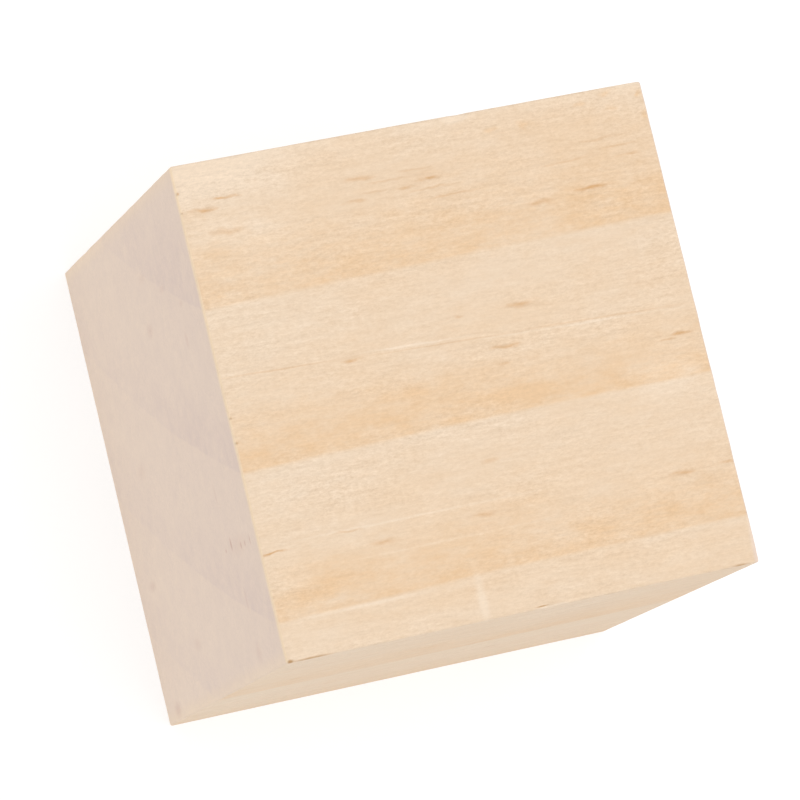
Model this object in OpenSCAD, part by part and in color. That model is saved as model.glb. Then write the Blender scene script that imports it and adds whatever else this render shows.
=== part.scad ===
// Plain wooden cube, one block cross-cut from a planed square stick of pine.
// The grain runs along X, the left and right ends are the sawn end grain, and
// the origin is the middle of the bottom face, with +Z up. Millimetres.

/* [Block] */
// Length along the grain, from sawn end to sawn end
block_length = 30; // [24:0.5:60]
// Width across the grain, from planed side to planed side
block_width = 30; // [15:0.5:60]
// Height across the grain, from the bottom face to the top face
block_height = 30; // [15:0.5:60]
// Radius of the lightly eased arrises
arris_radius = 0.15; // [0.05:0.05:0.3]

/* [Chip in the front top arris] */
// Distance from the left end to the middle of the chip
front_chip_from_left = 16.8; // [3:0.1:27]
// Length of the chip along the arris
front_chip_length = 2; // [0.8:0.1:4]
// Depth of the chip into the top face
front_chip_depth = 0.25; // [0.2:0.05:0.6]
// Distance that the chip runs down the front side
front_chip_drop = 0.3; // [0.2:0.05:2]

/* [Chip in the back top arris] */
// Distance from the left end to the middle of the chip
back_chip_from_left = 18.1; // [3:0.1:27]
// Length of the chip along the arris
back_chip_length = 1.6; // [0.8:0.1:4]
// Depth of the chip into the top face
back_chip_depth = 0.4; // [0.2:0.05:0.6]
// Distance that the chip runs down the back side
back_chip_drop = 0.25; // [0.2:0.05:2]

/* [Worn corners at the right end] */
// Length of the wear at the front corner, along the front arris
front_wear_along = 0.35; // [0.2:0.05:5]
// Length of the wear at the front corner, along the end arris
front_wear_across = 2.6; // [0.2:0.05:5]
// Distance that the wear runs down at the front corner
front_wear_drop = 0.2; // [0.15:0.05:1]
// Length of the wear at the back corner, along the back arris
back_wear_along = 2.4; // [0.2:0.05:5]
// Length of the wear at the back corner, along the end arris
back_wear_across = 0.25; // [0.2:0.05:5]
// Distance that the wear runs down at the back corner
back_wear_drop = 0.2; // [0.15:0.05:1]

/* [Hidden] */
wood_color = [0.94, 0.83, 0.71];
front = -1;
back = 1;
// Facets of a preview circle
round_fn = 48;

// Square with its four corners rounded
module eased_square(size_x, size_y) {
    corner_x = size_x / 2 - arris_radius;
    corner_y = size_y / 2 - arris_radius;
    square([size_x, 2 * corner_y], center = true);
    square([2 * corner_x, size_y], center = true);
    for (sx = [-1, 1], sy = [-1, 1])
        translate([sx * corner_x, sy * corner_y])
            circle(r = arris_radius, $fn = round_fn);
}

// Block with all twelve arrises eased, centred on the origin. Each of the three
// prisms rounds the four arrises that run along it.
module eased_block() {
    intersection() {
        linear_extrude(block_height, center = true)
            eased_square(block_length, block_width);
        rotate([90, 0, 0])
            linear_extrude(block_width, center = true)
                eased_square(block_length, block_height);
        rotate([90, 0, 90])
            linear_extrude(block_length, center = true)
                eased_square(block_width, block_height);
    }
}

// Lens-shaped sliver split out of a top arris that runs along X. The round of the
// cutter meets the top face in an arc of the chip's length and depth, and it leans
// outwards so that the chip runs out on the side face at its drop.
module arris_chip(side, from_left, length, depth, drop) {
    lean = atan(depth / drop);
    bite = depth * cos(lean);
    lens_r = (pow(length / 2, 2) + pow(bite, 2)) / (2 * bite);
    translate([from_left - block_length / 2, side * (block_width / 2 - depth), block_height])
        rotate([side * lean, 0, 0])
            translate([0, side * lens_r, 0])
                cylinder(r = lens_r, h = 4 * (depth + drop), center = true, $fn = 2 * round_fn);
}

// Worn top corner of the right end: one flat that crosses the three arrises there, at
// its own distance from the corner on each.
module corner_wear(side, along, across, drop) {
    normal = [1 / along, side / across, 1 / drop];
    cutter = 4 * max(along, across);
    translate([block_length / 2, side * (block_width / 2 - across), block_height])
        rotate([0, acos(normal.z / norm(normal)), atan2(normal.y, normal.x)])
            translate([-cutter / 2, -cutter / 2, 0])
                cube(cutter);
}

module wood_cube() {
    color(wood_color)
        difference() {
            translate([0, 0, block_height / 2])
                eased_block();
            arris_chip(front, front_chip_from_left, front_chip_length,
                       front_chip_depth, front_chip_drop);
            arris_chip(back, back_chip_from_left, back_chip_length,
                       back_chip_depth, back_chip_drop);
            corner_wear(front, front_wear_along, front_wear_across, front_wear_drop);
            corner_wear(back, back_wear_along, back_wear_across, back_wear_drop);
        }
}

wood_cube();
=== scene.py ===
import math

import bmesh
import bpy
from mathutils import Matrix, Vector, noise


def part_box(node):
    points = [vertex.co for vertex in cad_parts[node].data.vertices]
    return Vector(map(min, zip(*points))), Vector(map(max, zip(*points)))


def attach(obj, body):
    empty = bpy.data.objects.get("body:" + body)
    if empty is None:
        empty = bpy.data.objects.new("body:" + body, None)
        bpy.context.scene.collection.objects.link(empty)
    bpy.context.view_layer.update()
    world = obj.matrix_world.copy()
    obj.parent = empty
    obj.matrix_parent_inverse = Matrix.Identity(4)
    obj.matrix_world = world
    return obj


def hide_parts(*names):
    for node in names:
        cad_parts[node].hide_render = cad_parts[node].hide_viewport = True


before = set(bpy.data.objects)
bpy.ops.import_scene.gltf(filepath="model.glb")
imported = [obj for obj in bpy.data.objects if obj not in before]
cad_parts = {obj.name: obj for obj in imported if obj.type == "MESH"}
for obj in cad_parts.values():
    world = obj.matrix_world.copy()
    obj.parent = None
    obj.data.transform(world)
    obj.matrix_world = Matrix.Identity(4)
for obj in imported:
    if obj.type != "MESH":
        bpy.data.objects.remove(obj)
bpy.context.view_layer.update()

# ---- The pine block ------------------------------------------------------------
# One solid block of bare fast-grown pine, cross-cut at both ends from a square stick that
# was planed on its four sides. Its arrises are crisp and only just eased. Two slivers have
# split out of the top arrises, and the two top corners of the right end are worn.

MM = 0.001
low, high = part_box("wood_cube")

ARRIS_RADIUS = 0.15 * MM
ARRIS_WANDER = 0.35        # how much the radius changes along an arris, as a share of it
ARRIS_PITCH = 0.035 * MM   # lattice pitch on the arrises
FACE_PITCH = 0.37 * MM     # widest lattice pitch, in the middle of a face
PITCH_GROWTH = 0.12        # how fast the pitch widens away from a fine spot

FRONT = -1
BACK = 1

CHIP_PITCH = 0.075 * MM
FRONT_CHIP = {"side": FRONT, "middle": 1.8 * MM, "length": 2.0 * MM, "depth": 0.25 * MM, "drop": 0.3 * MM}
BACK_CHIP = {"side": BACK, "middle": 3.1 * MM, "length": 1.6 * MM, "depth": 0.4 * MM, "drop": 0.25 * MM}
CHIP_FADE = 1.5 * MM       # the top face's lattice closes up over this distance behind a chip
SPLINTER = 0.02 * MM       # raggedness of a chip's surface

FRONT_WEAR = {"side": FRONT, "along": 0.35 * MM, "across": 2.6 * MM, "drop": 0.2 * MM}
BACK_WEAR = {"side": BACK, "along": 2.4 * MM, "across": 0.25 * MM, "drop": 0.2 * MM}

SAW_PITCH = 0.8 * MM       # spacing of the saw's marks across the sawn ends
SAW_WANDER = 0.3           # how far they bend, as a share of that spacing
SAW_DEPTH = 0.010 * MM
PLANE_DEPTH = 0.006 * MM   # unevenness left by the planer knives


def lattice_lines(start, end, fine_spots):
    """Places of the lattice lines between start and end, close together at the fine spots."""
    lines = [start]
    while lines[-1] < end:
        here = lines[-1]
        pitch = FACE_PITCH
        for first, last, finest in fine_spots:
            away = max(0, first - here, here - last)
            pitch = min(pitch, finest + PITCH_GROWTH * away)
        lines.append(here + pitch)
    stretch = (end - start) / (lines[-1] - start)
    return [start + (line - start) * stretch for line in lines]


def eased(point):
    """The point of the sharp block, moved in on to its rounded arrises."""
    radius = ARRIS_RADIUS * (1 + ARRIS_WANDER * noise.noise(point * 900))
    core = Vector(
        min(max(value, floor + radius), ceiling - radius)
        for value, floor, ceiling in zip(point, low, high)
    )
    out = point - core
    return core + out.normalized() * radius


def chip_reach(chip, point):
    """How far in from the side face a chip reaches, at the point's length and height."""
    slant = math.hypot(chip["depth"], chip["drop"]) / chip["drop"]
    bite = chip["depth"] / slant
    lens = ((chip["length"] / 2) ** 2 + bite ** 2) / (2 * bite)
    across = point.x - chip["middle"]
    if abs(across) >= lens:
        return 0
    sag = (lens - math.sqrt(lens ** 2 - across ** 2)) * slant
    below = (high.z - point.z) * chip["depth"] / chip["drop"]
    splinter = SPLINTER * noise.noise(Vector((point.x * 900, 0, point.z * 5000)))
    return max(0, chip["depth"] - below - sag + splinter)


def chipped(point, chip):
    """The point, moved in where the chip has left its side of the block."""
    side_y = high.y if chip["side"] == BACK else low.y
    inward = -chip["side"]
    depth = inward * (point.y - side_y)
    if depth > CHIP_FADE:
        return point
    shift = chip_reach(chip, point) * (1 - max(0, depth) / CHIP_FADE)
    return point + Vector((0, inward * shift, 0))


def worn(point, wear):
    """The point, pressed on to the flat of a worn corner where it stands proud of it."""
    side_y = high.y if wear["side"] == BACK else low.y
    start = Vector((high.x, side_y - wear["side"] * wear["across"], high.z))
    flat = Vector((1 / wear["along"], wear["side"] / wear["across"], 1 / wear["drop"])).normalized()
    proud = (point - start).dot(flat)
    return point - flat * max(0, proud)


def tooled(point):
    """The point with the marks of the saw or the planer, which only ever go inwards."""
    mid = (low + high) / 2
    half = (high - low) / 2
    outward = max(range(3), key=lambda axis: abs(point[axis] - mid[axis]) / half[axis])
    sign = 1 if point[outward] > mid[outward] else -1
    if outward == 0:
        wander = SAW_WANDER * noise.noise(point * 150)
        wave = 0.5 + 0.5 * math.sin(math.tau * (point.z / SAW_PITCH + wander))
        depth = SAW_DEPTH * wave * (0.5 + 0.5 * noise.noise(point * 90))
    else:
        streak = Vector((point.x * 60, point.y * 400, point.z * 400))
        depth = PLANE_DEPTH * (0.5 + 0.5 * noise.noise(streak))
    inset = Vector((0, 0, 0))
    inset[outward] = -sign * max(0, depth)
    return point + inset


def pine_block():
    """The whole block as one closed mesh: a box cut into a lattice, whose points are then shaped."""
    chips_x = [
        (chip["middle"] - chip["length"] / 2, chip["middle"] + chip["length"] / 2, CHIP_PITCH)
        for chip in (FRONT_CHIP, BACK_CHIP)
    ]
    lines = []
    for axis, chips in enumerate((chips_x, [], [])):
        arrises = [(corner, corner, ARRIS_PITCH) for corner in (low[axis], high[axis])]
        lines.append(lattice_lines(low[axis], high[axis], arrises + chips))

    lattice = bmesh.new()
    bmesh.ops.create_cube(lattice, size=1)
    for axis in range(3):
        lengthwise = [
            edge for edge in lattice.edges
            if abs((edge.verts[0].co - edge.verts[1].co)[axis]) > 0.5
        ]
        cuts = len(lines[axis]) - 2
        bmesh.ops.subdivide_edges(lattice, edges=lengthwise, cuts=cuts, use_grid_fill=True)
    for vertex in lattice.verts:
        spots = [round((vertex.co[axis] + 0.5) * (len(lines[axis]) - 1)) for axis in range(3)]
        point = Vector(lines[axis][spots[axis]] for axis in range(3))
        point = eased(point)
        point = tooled(point)
        point = chipped(point, FRONT_CHIP)
        point = chipped(point, BACK_CHIP)
        point = worn(point, FRONT_WEAR)
        point = worn(point, BACK_WEAR)
        vertex.co = point
    bmesh.ops.recalc_face_normals(lattice, faces=lattice.faces)
    for face in lattice.faces:
        face.smooth = True
    mesh = bpy.data.meshes.new("pine_block")
    lattice.to_mesh(mesh)
    lattice.free()
    return mesh


block = bpy.data.objects.new("pine_block", pine_block())
bpy.context.scene.collection.objects.link(block)


class Wire:
    """One output of a node. Arithmetic on wires adds the Math nodes for it."""

    def __init__(self, tree, socket=None):
        self.tree = tree
        self.socket = socket

    def node(self, kind, settings, inputs, out=0):
        """Adds a node, sets it up, and joins or fills its named or numbered inputs."""
        made = self.tree.nodes.new(kind)
        for name, value in settings.items():
            setattr(made, name, value)
        for name, value in inputs.items():
            if isinstance(value, Wire):
                self.tree.links.new(value.socket, made.inputs[name])
            else:
                made.inputs[name].default_value = value
        return Wire(self.tree, made.outputs[out] if made.outputs else None)

    def math(self, operation, *values):
        """A Math node on the values, which are wires or numbers."""
        return self.node("ShaderNodeMath", {"operation": operation}, dict(enumerate(values)))

    def __add__(self, other):
        return self.math("ADD", self, other)

    def __sub__(self, other):
        return self.math("SUBTRACT", self, other)

    def __rsub__(self, other):
        return self.math("SUBTRACT", other, self)

    def __mul__(self, other):
        return self.math("MULTIPLY", self, other)

    def __truediv__(self, other):
        return self.math("DIVIDE", self, other)

    def __pow__(self, other):
        return self.math("POWER", self, other)

    __radd__ = __add__
    __rmul__ = __mul__

    def step(self, begin, end):
        """0 at begin and 1 at end, with a smooth change between."""
        settings = {"interpolation_type": "SMOOTHSTEP"}
        inputs = {"Value": self, "From Min": begin, "From Max": end}
        return self.node("ShaderNodeMapRange", settings, inputs)

    def axis(self, name):
        """One part of a vector, X, Y or Z."""
        return self.node("ShaderNodeSeparateXYZ", {}, {0: self}, name)

    def moved(self, vector):
        """A vector with another one added."""
        return self.node("ShaderNodeVectorMath", {"operation": "ADD"}, {0: self, 1: vector})

    def times(self, share):
        """A vector or colour, with all three parts multiplied by one share."""
        return self.node("ShaderNodeVectorMath", {"operation": "SCALE"}, {0: self, "Scale": share})

    def per(self, x, y, z):
        """A vector with its three parts each multiplied by a number of its own."""
        return self.node("ShaderNodeVectorMath", {"operation": "MULTIPLY"}, {0: self, 1: (x, y, z)})

    def cloud(self, detail=2.0, roughness=0.5):
        """Noise round 0, mostly within 0.5 either way, with features of about one unit."""
        inputs = {"Vector": self, "Scale": 1.0, "Detail": detail, "Roughness": roughness}
        return self.node("ShaderNodeTexNoise", {}, inputs) - 0.5

    def spot(self, center, reach, strength):
        """A long blob: the strength in its middle, fading to 0 at its reach from the center."""
        shares = [1 / part for part in reach]
        offset = [-part * share for part, share in zip(center, shares)]
        inputs = {0: self, 1: shares, 2: offset}
        inside = self.node("ShaderNodeVectorMath", {"operation": "MULTIPLY_ADD"}, inputs)
        distance = inside.node("ShaderNodeVectorMath", {"operation": "LENGTH"}, {0: inside}, "Value")
        inputs = {"Value": distance, "From Min": 1.0, "From Max": 0.0, "To Max": strength}
        return distance.node("ShaderNodeMapRange", {"interpolation_type": "SMOOTHSTEP"}, inputs)

    def tint(self, under, over):
        """The colour under, turned to the colour over by this wire's share."""
        settings = {"data_type": "RGBA", "clamp_factor": True}
        return self.node("ShaderNodeMix", settings, {0: self, 6: under, 7: over}, 2)


def srgb(red, green, blue):
    """A colour given in display steps of 255, as the linear colour that nodes take."""
    shares = [value / 255 for value in (red, green, blue)]
    linear = [s / 12.92 if s < 0.04045 else ((s + 0.055) / 1.055) ** 2.4 for s in shares]
    return (*linear, 1)


PALE_WOOD = srgb(236, 215, 191)
LATE_WOOD = srgb(232, 197, 157)
RESIN = srgb(214, 170, 122)
END_PALE = srgb(238, 217, 198)
END_DARK = srgb(224, 202, 189)
END_RIM_HIGHLIGHT = srgb(250, 224, 186)
TORN = srgb(208, 172, 156)

# All through the wood, sizes and places are in mm from the block's origin. The pith lies
# far behind and above, so that the rings cross the top face as straight bands and the ends
# as slanting ones.
END_X = high.x / MM
SIDE_Y = high.y / MM
TOP_Z = high.z / MM
ARRIS = ARRIS_RADIUS / MM
FACE_SKIN = 0.02           # wood this near to a face's plane belongs to that face
WORN_REACH = (0.45, 3.2, 0.6)        # reach of the end grain bared at the worn front corner

PITH_Y = 136.0
PITH_Z = 75.0
RING_RADII = (137.2, 146.5, 155.0)   # distances from the pith at which three rings end
GRAIN_SLOPE = 0.016        # drift of the rings across the block, for each mm along it
GRAIN_BOW = 0.0004         # their bow, for each mm along it squared

# Resin flecks on the top face: middle along and across, length, thickness, strength.
FLECKS = [
    (-13.5, 12.1, 2.6, 0.40, 0.80),
    (-12.1, 12.6, 2.8, 0.30, 0.75),
    (-12.6, 10.6, 3.0, 0.64, 0.34),
    (-3.7, 12.2, 2.4, 0.36, 0.45),
    (-4.5, 10.9, 1.8, 0.34, 0.42),
    (-1.1, 11.2, 2.1, 0.34, 0.60),
    (-2.2, 11.8, 4.0, 0.20, 0.34),
    (-3.0, 11.3, 3.0, 0.20, 0.30),
    (0.6, 10.9, 4.0, 0.20, 0.34),
    (-0.4, 12.2, 3.0, 0.20, 0.28),
    (0.2, 11.7, 4.5, 1.6, 0.16),
    (0.6, 11.5, 2.2, 0.34, 0.84),
    (1.7, 10.3, 4.4, 0.26, 0.50),
    (6.8, 8.8, 2.6, 0.50, 0.55),
    (10.4, 9.1, 3.2, 0.40, 0.85),
    (13.3, 10.7, 2.4, 0.26, 0.42),
    (11.4, 12.0, 4.6, 0.22, 0.34),
    (12.6, 11.4, 3.4, 0.20, 0.38),
    (9.0, 11.0, 5.0, 0.20, 0.28),
    (-9.6, -8.2, 3.0, 0.24, 0.36),
    (0.0, 3.0, 1.2, 0.38, 0.53),
    (4.1, 3.0, 2.1, 0.44, 0.62),
    (-6.8, 1.7, 1.9, 0.38, 0.62),
    (2.6, 0.7, 2.1, 0.36, 0.66),
    (2.2, -0.3, 1.0, 0.35, 0.42),
    (13.5, -0.6, 2.0, 0.36, 0.80),
    (12.7, -0.8, 1.4, 0.26, 0.47),
    (-14.2, -8.5, 3.0, 0.22, 0.95),
    (-7.4, -9.2, 2.6, 0.54, 0.47),
    (-1.2, -8.8, 2.8, 0.54, 0.47),
    (11.6, -8.9, 2.2, 0.51, 0.63),
    (14.5, -8.7, 1.8, 0.29, 0.58),
    (0.0, -5.8, 1.6, 0.38, 0.32),
]

# Warmer clouds on the top face, given in the same way.
CLOUDS = [
    (-14.6, -2.6, 5.0, 2.6, 0.24),
    (-3.4, -1.2, 9.0, 3.2, 0.22),
    (-3.9, -0.9, 4.0, 1.2, 0.22),
    (3.2, -2.3, 6.0, 1.8, 0.40),
    (-3.0, 8.0, 20.0, 3.0, 0.14),
    (-11.0, -10.7, 5.5, 1.8, 0.45),
    (-13.0, -11.4, 7.0, 1.8, 0.40),
    (-12.0, -9.7, 7.0, 1.6, 0.25),
    (0.0, -13.0, 60.0, 2.6, 0.14),
    (5.6, -10.9, 5.5, 1.8, 0.26),
    (10.2, -10.9, 4.0, 1.8, 0.20),
    (12.7, 14.7, 1.2, 0.7, 0.55),
    (14.7, 14.2, 0.8, 0.7, 0.65),
    (14.8, 12.9, 0.8, 0.9, 0.45),
    (5.0, 13.7, 1.0, 0.7, 0.45),
    (7.1, 13.6, 1.2, 0.9, 0.40),
    (10.8, 14.3, 1.0, 0.5, 0.40),
    (12.6, 13.7, 0.9, 0.6, 0.30),
    (10.0, 12.6, 13.0, 4.5, 0.16),
]

# Paler places on the top face, given in the same way. The band along the back arris and the
# broad patch at its left end are a painted pale glare. The thin row at 1.7 on the front arris is a
# painted highlight on the lip of the front chip, which is also paler fresh wood. The rest is paler wood.
PALE_AND_HIGHLIGHTS = [
    (0.0, 15.0, 90.0, 2.2, 0.12),
    (-13.0, 14.0, 16.0, 5.0, 0.30),
    (-11.5, 10.4, 11.0, 3.6, 0.16),
    (-2.5, -13.6, 0.9, 5.0, 0.36),
    (-9.5, -12.6, 14.0, 0.40, 0.28),
    (-6.0, -8.1, 26.0, 0.26, 0.26),
    (-4.0, -9.9, 20.0, 0.24, 0.20),
    (12.0, -3.0, 10.0, 4.0, 0.26),
    (1.7, -15.0, 2.6, 0.34, 1.00),
    (2.9, 14.8, 2.0, 0.9, 0.70),
    (14.2, 15.0, 3.4, 0.5, 0.80),
    (15.0, -14.0, 0.7, 5.0, 0.50),
]

# Dirt where the top face's arrises are nicked, and painted shadow, given in the same way: the
# thin dark lines along the front arris near both its ends and along the top of the front chip are
# painted shadow under lifted fibres.
NICK_DIRT_AND_SHADOWS = [
    (-14.95, 13.3, 0.45, 0.30, 0.85),
    (-14.95, 12.1, 0.30, 0.22, 0.60),
    (-14.95, -0.3, 0.35, 0.26, 0.80),
    (-14.95, -1.8, 0.40, 0.26, 0.80),
    (-14.8, -14.95, 0.60, 0.45, 1.00),
    (-13.4, -15.0, 3.60, 0.30, 0.80),
    (13.8, -15.0, 1.60, 0.30, 0.80),
    (1.1, -14.87, 1.40, 0.12, 0.90),
]

# Torn grain and stains on the left end: middle across and up, width, height, strength.
TEARS = [
    (-7.1, 22.7, 0.40, 0.45, 0.80),
    (-6.9, 24.1, 1.20, 0.45, 0.95),
    (-7.3, 26.2, 0.65, 0.40, 0.80),
    (-7.3, 27.1, 0.55, 0.40, 0.70),
    (-7.3, 28.3, 0.90, 0.35, 0.70),
    (-7.2, 25.6, 1.80, 6.50, 0.16),
    (-3.7, 23.2, 1.80, 0.50, 0.22),
    (5.5, 25.0, 1.60, 0.90, 0.26),
    (7.6, 25.6, 0.60, 1.40, 0.20),
    (9.2, 22.2, 0.70, 2.00, 0.20),
    (10.7, 18.2, 0.90, 2.40, 0.16),
    (7.6, 17.3, 1.30, 2.20, 0.28),
    (-10.4, 24.6, 2.20, 0.60, 0.25),
    (-13.6, 24.6, 2.00, 1.80, 0.22),
    (-11.2, 11.3, 1.20, 2.40, 0.22),
    (-6.4, 3.8, 1.00, 2.60, 0.28),
    (0.4, 7.6, 1.60, 3.20, 0.18),
    (-14.3, 3.0, 1.60, 2.40, 0.36),
]

# A planer score crosses the top face, falling to the front as it goes along: first dark,
# then pale beside dark. Given in the same way, in the score's own direction.
SCORE_FALL = 0.033
PALE_SCORES = [
    (-3.0, 1.76, 11.0, 0.22, 0.42),
    (8.0, 1.44, 20.0, 0.22, 0.34),
]
DARK_SCORES = [
    (-11.5, 1.60, 11.0, 0.20, 0.36),
    (-1.0, 1.54, 14.0, 0.16, 0.30),
    (9.0, 1.62, 16.0, 0.16, 0.32),
]

pine = bpy.data.materials.new("bare_pine")
pine.use_nodes = True
pine.node_tree.nodes.clear()
place = Wire(pine.node_tree).node("ShaderNodeTexCoord", {}, {}, "Object").times(1 / MM)
along = place.axis("X")
across = place.axis("Y")
up = place.axis("Z")

# End grain: both sawn ends, and the flat of the worn front corner, which cuts the fibres.
end_grain = along.math("ABSOLUTE", along).step(END_X - ARRIS, END_X - FACE_SKIN)
end_grain = end_grain + place.spot((END_X, -SIDE_Y, TOP_Z), WORN_REACH, 1.4)
end_grain = end_grain.math("MINIMUM", end_grain, 1)

# Growth rings: the phase grows by 1 for each ring, and its fraction is the age in the ring.
# A ring runs from pale early wood, slowly, to orange late wood, and ends sharply on its
# bark side.
first, second, third = RING_RADII
ring = (third - first) / 2
bend = ((third - second) - (second - first)) / 2 / ring
drift = place.per(0.06, 0.15, 0.15).cloud(1.0) * 0.3
radius = ((PITH_Y - across) ** 2 + (PITH_Z - up) ** 2) ** 0.5 + drift
radius = radius + along * GRAIN_SLOPE - along * along * GRAIN_BOW
turns = (radius - second) / ring
phase = turns - turns * turns * bend
age = phase.math("FRACT", phase + 10)
spread = place.per(0.10, 0.08, 0.08).cloud(1.0)
late = age.step(spread * 0.6 + 0.42, 1.0) * age.step(0.998, 0.972)

# Uneven places to lay the marks on: loose for ragged ones, steady for firm ones, and
# scored for what runs along with the planer score.
swirl = place.per(0.8, 1.6, 1.6)
swirl = swirl.node("ShaderNodeTexNoise", {}, {"Vector": swirl, "Scale": 1.0, "Detail": 3.0}, "Color")
swirl = swirl.moved((-0.5, -0.5, -0.5))
loose = place.moved(swirl.per(2.0, 0.5, 0.0))
steady = place.moved(swirl.per(0.0, 0.12, 0.0))
score_y = steady.axis("Y") + along * SCORE_FALL
scored = steady.node("ShaderNodeCombineXYZ", {}, {"X": along, "Y": score_y, "Z": up})

# Texture, from coarse to fine: cloudy figure, mottle, strands of fibre, and planed fuzz.
figure = place.per(0.13, 0.40, 0.40).cloud(4.0, 0.75)
mottle = place.per(0.5, 1.2, 1.2).cloud(3.0, 0.7)
strands = scored.per(0.35, 3.2, 3.2).cloud(3.0, 0.75)
fuzz = place.per(2.6, 5.2, 5.2).cloud(2.0, 0.9)


def marks(field, rows, depth):
    """The sum of the rows' blobs on the top face, each reaching a depth into the wood."""
    total = 0
    for x, y, length, thickness, amount in rows:
        total = total + field.spot((x, y, TOP_Z), (length / 2, thickness / 2, depth), amount)
    return total


clouds = marks(loose, CLOUDS, depth=1.5)
# Pale places: planer scores and paler wood, with a painted pale glare and a painted highlight among them.
pale_and_highlights = marks(scored, PALE_SCORES, depth=0.2) * (strands * 2.0 + 1.0)
pale_and_highlights = pale_and_highlights + marks(steady, PALE_AND_HIGHLIGHTS, depth=0.5)
flecks = marks(loose, FLECKS, depth=0.5) * (strands * 1.6 + 1.1)
flecks = flecks + marks(scored, DARK_SCORES, depth=0.2)
# Dirt on the arrises, with painted shadow lines along the front arris and above the front chip.
nick_dirt_and_shadows = marks(steady, NICK_DIRT_AND_SHADOWS, depth=0.2)
torn = 0
for y, z, width, height, amount in TEARS:
    torn = torn + steady.spot((-END_X, y, z), (0.5, width / 2, height / 2), amount)

# Resin canals wherever the lists don't reach, which are the top face and the left end: they
# show as flecks on the other sides and as dots on the right end.
canals = place.per(0.25, 1.3, 1.3)
canals = canals.node("ShaderNodeTexVoronoi", {}, {"Vector": canals, "Scale": 1.0}).step(0.20, 0.06)
listed_top = up.step(TOP_Z - 0.5, TOP_Z - 0.1)
listed_end = along.step(0.2 - END_X, 0.05 - END_X)
listed = up.math("MAXIMUM", listed_top, listed_end)
canals = canals * mottle.step(0.0, 0.12) * (1 - listed)

# Light and dark: fuzz and strands, rougher in some places than in others and softer on
# the end grain, dark hairs in the deepest strands, and painted shade that darkens the front and back
# sides.
rough = place.per(0.12, 0.35, 0.35).cloud(1.0) + 0.5
fluff = (fuzz * 0.60 + strands * 0.42) * rough * (1 - end_grain * 0.6)
hairs = strands.step(-0.10, -0.34)
# Painted shade: the front and back sides are made darker and less orange, as they get less light than the
# top.
painted_side_shade = across.math("ABSOLUTE", across).step(SIDE_Y - ARRIS, SIDE_Y - FACE_SKIN)
shade = fluff - hairs * rough * (1 - end_grain) * 0.06 - mottle * 0.05 - painted_side_shade * 0.035

# Pale to orange on the long faces, paler towards the left end, where the wood is light, and
# under the painted glare and highlight; less orange on the front and back sides, which is painted shade.
deepness = place.per(0.09, 0.20, 0.20).cloud(1.0) * 0.5 + 0.40
late = late * (deepness + mottle * 0.9 + strands * 0.4)
left_zone = along.step(-5, -13)
warmth = 0.26 + age.step(0, 0.5) * 0.10 + late + figure * 0.7 + mottle * 0.36
warmth = warmth + clouds - pale_and_highlights - left_zone * 0.12 - painted_side_shade * 0.12 - shade * 1.7
face_color = (flecks + canals * 0.7 + nick_dirt_and_shadows * 1.4).tint(warmth.tint(PALE_WOOD, LATE_WOOD), RESIN)

# The ends are pale to greyish, with bands that fade downwards, and painted shade makes them
# darker towards the top. The left end has a brighter, warm band along its top arris and a weaker one
# beside its upright arrises, a painted highlight where the arrises catch the light.
fading = 0.5 + up.step(6, 22) * 0.5
# Painted shade: the up term makes the ends darker towards their top.
dullness = late * 0.9 * fading + figure * 0.8 + mottle * 0.3 + up * 0.011 + 0.14
# Painted highlight: a brighter, warm band below the left end's top arris and beside its upright arrises.
beside = across.math("ABSOLUTE", across).step(SIDE_Y - 1.2, SIDE_Y) * 0.4
rim_highlight = up.math("MAXIMUM", up.step(TOP_Z - 0.55, TOP_Z - 0.05), beside) * 0.7
rim_highlight = rim_highlight * along.step(END_X - 1, END_X - 2)
end_color = rim_highlight.tint(dullness.tint(END_PALE, END_DARK), END_RIM_HIGHLIGHT)
end_color = (torn + canals * 0.5).tint(end_color, TORN)

# Lightness: the painted glare and the painted chip highlight brighten; the arris dirt and painted shadow
# lines darken.
lightness = 1 + shade + pale_and_highlights * 0.15 - nick_dirt_and_shadows * 0.25
wood_color = end_grain.tint(face_color, end_color).times(lightness)

relief = fuzz * 0.004 - hairs * 0.002
bump = relief.node("ShaderNodeBump", {}, {"Strength": 1.0, "Distance": 0.001, "Height": relief})
pine_finish = {
    "Base Color": wood_color,
    "Roughness": 0.72 - warmth * 0.12,
    "IOR": 1.45,
    "Normal": bump,
}
skin = bump.node("ShaderNodeBsdfPrincipled", {}, pine_finish)
skin.node("ShaderNodeOutputMaterial", {}, {"Surface": skin})

block.data.materials.append(pine)
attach(block, "root")
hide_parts("wood_cube")


# ---- The studio ----------------------------------------------------------------
# A round pale floor that glows a little, like a lit table, under a soft overhead light,
# with a white room all round that is a little brighter straight above.

FLOOR_RADIUS = 2.4         # in metres

sheet = bmesh.new()
bmesh.ops.create_circle(sheet, cap_ends=True, segments=96, radius=FLOOR_RADIUS)
floor_mesh = bpy.data.meshes.new("studio_floor")
sheet.to_mesh(floor_mesh)
sheet.free()
floor = bpy.data.objects.new("studio_floor", floor_mesh)
bpy.context.scene.collection.objects.link(floor)

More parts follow.
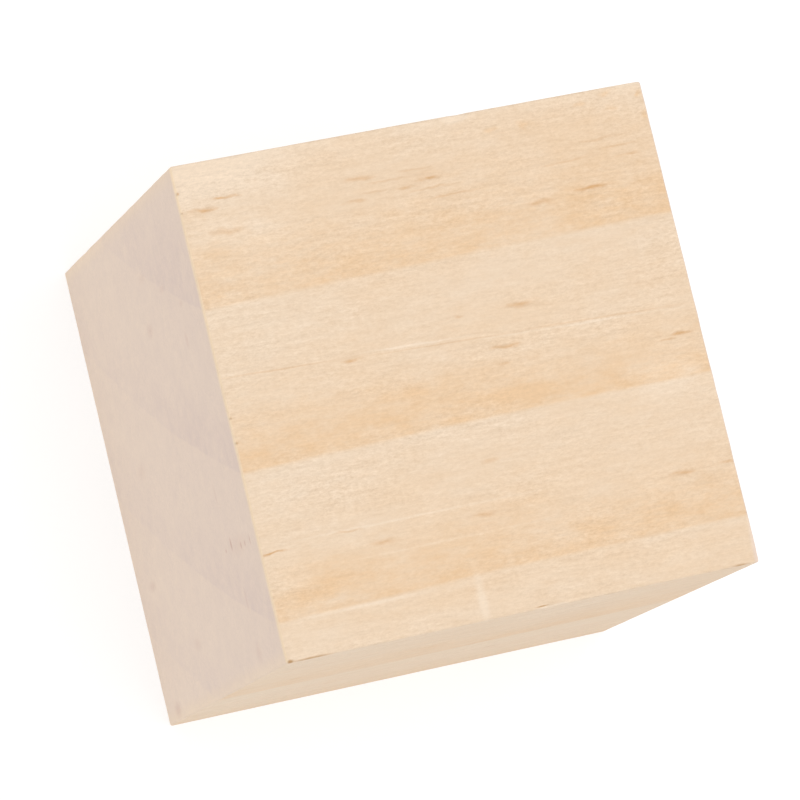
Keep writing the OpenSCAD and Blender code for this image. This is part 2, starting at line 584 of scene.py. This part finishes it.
paper = bpy.data.materials.new("pale_paper")
paper.use_nodes = True
paper.node_tree.nodes.clear()
paper_finish = {
    "Base Color": (0.5, 0.5, 0.5, 1),
    "Roughness": 0.9,
    "Emission Color": (1, 1, 1, 1),
    "Emission Strength": 0.58,
}
glow = Wire(paper.node_tree).node("ShaderNodeBsdfPrincipled", {}, paper_finish)
glow.node("ShaderNodeOutputMaterial", {}, {"Surface": glow})
floor_mesh.materials.append(paper)

key_data = bpy.data.lights.new("overhead_light", "AREA")
key_data.shape = "SQUARE"
key_data.size = 0.6
key_data.energy = 2.3
key_data.color = (1.0, 0.98, 0.95)
key = bpy.data.objects.new("overhead_light", key_data)
key.location = (0.1, -0.06, 0.8)
key.rotation_euler = (-key.location).to_track_quat("-Z", "Y").to_euler()
bpy.context.scene.collection.objects.link(key)

room = bpy.data.worlds.new("white_room")
room.use_nodes = True
room.node_tree.nodes.clear()
steepness = Wire(room.node_tree).node("ShaderNodeTexCoord", {}, {}, "Generated").axis("Z")
steepness = steepness.math("ABSOLUTE", steepness).step(0, 1)
glare = {"Color": (1, 1, 1, 1), "Strength": 0.64 + steepness * 0.12}
air = steepness.node("ShaderNodeBackground", {}, glare)
air.node("ShaderNodeOutputWorld", {}, {"Surface": air})
bpy.context.scene.world = room
bpy.context.scene.view_settings.view_transform = "Standard"


# ---- The camera ----------------------------------------------------------------
# A long lens looks steeply down on the top face, rolled so that the grain climbs a
# little to the right. Places are in sides of the block, from the middle of it.

side = (high - low).z
middle = (low + high) / 2

LENS = 222.6
EYE = Vector((-3.0913, -1.2090, 9.6740))
AIM = Vector((0.0063, 0.0230, 0.0050))
RIGHT_HAND = Vector((0.9344, -0.2329, 0.2696))   # direction that lies to the camera's right

camera_data = bpy.data.cameras.new("camera")
camera_data.lens = LENS
camera_data.clip_start = side
camera_data.clip_end = side * 200
camera = bpy.data.objects.new("camera", camera_data)
camera.location = middle + EYE * side
backward = (EYE - AIM).normalized()
upward = backward.cross(RIGHT_HAND).normalized()
rightward = upward.cross(backward)
turn = camera.rotation_euler.to_matrix()
turn.col[0], turn.col[1], turn.col[2] = rightward, upward, backward
camera.rotation_euler = turn.to_euler()
bpy.context.scene.collection.objects.link(camera)
bpy.context.scene.camera = camera
